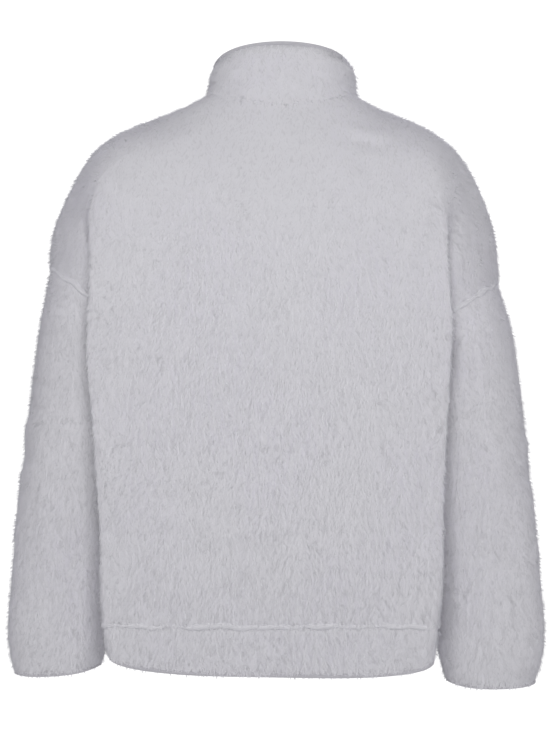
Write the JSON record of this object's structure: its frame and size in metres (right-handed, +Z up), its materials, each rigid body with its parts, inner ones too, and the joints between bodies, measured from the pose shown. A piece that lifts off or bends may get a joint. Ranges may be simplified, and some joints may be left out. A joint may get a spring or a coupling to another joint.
{
  "type": "fleece bomber jacket",
  "caption": "Hip-length pile fleece jacket with a stand collar, dropped shoulders, straight wide sleeves, a hem band and a front zip, hollow as if worn",
  "frame": {"origin": "the base of the neck, where the wearer's shoulders hold the jacket", "axes": "+Z up along the wearer's spine, +Y out of the jacket's back, +X to the wearer's left"},
  "size_m": [0.607, 0.2732, 0.7154],
  "materials": {
    "pile_cloth": "brushed short pile",
    "binding": "smooth knit binding",
    "zip_tape": "woven tape",
    "zip_teeth": "moulded teeth",
    "zip_metal": "satin metal"
  },
  "bodies": {
    "garment": {"back": "pile_cloth", "front_left": "pile_cloth", "front_right": "pile_cloth", "sleeve_left": "pile_cloth", "sleeve_right": "pile_cloth", "collar": "pile_cloth", "hem_band": "pile_cloth", "collar_binding": "binding", "hem_binding": "binding", "cuff_binding_left": "binding", "cuff_binding_right": "binding", "zip_tape_left": "zip_tape", "zip_tape_right": "zip_tape", "zip_chain": "zip_teeth", "zip_box": "zip_metal", "zip_slider": "zip_metal"},
    "pull_tab": {"zip_pull": "zip_metal"}
  },
  "joints": [
    {"name": "pull_swing", "type": "hinge", "parent": "garment", "child": "pull_tab", "pos_m": [0, -0.08446, -0.0149], "axis": [-1, 0, 0], "range_deg": [0, 170]}
  ]
}
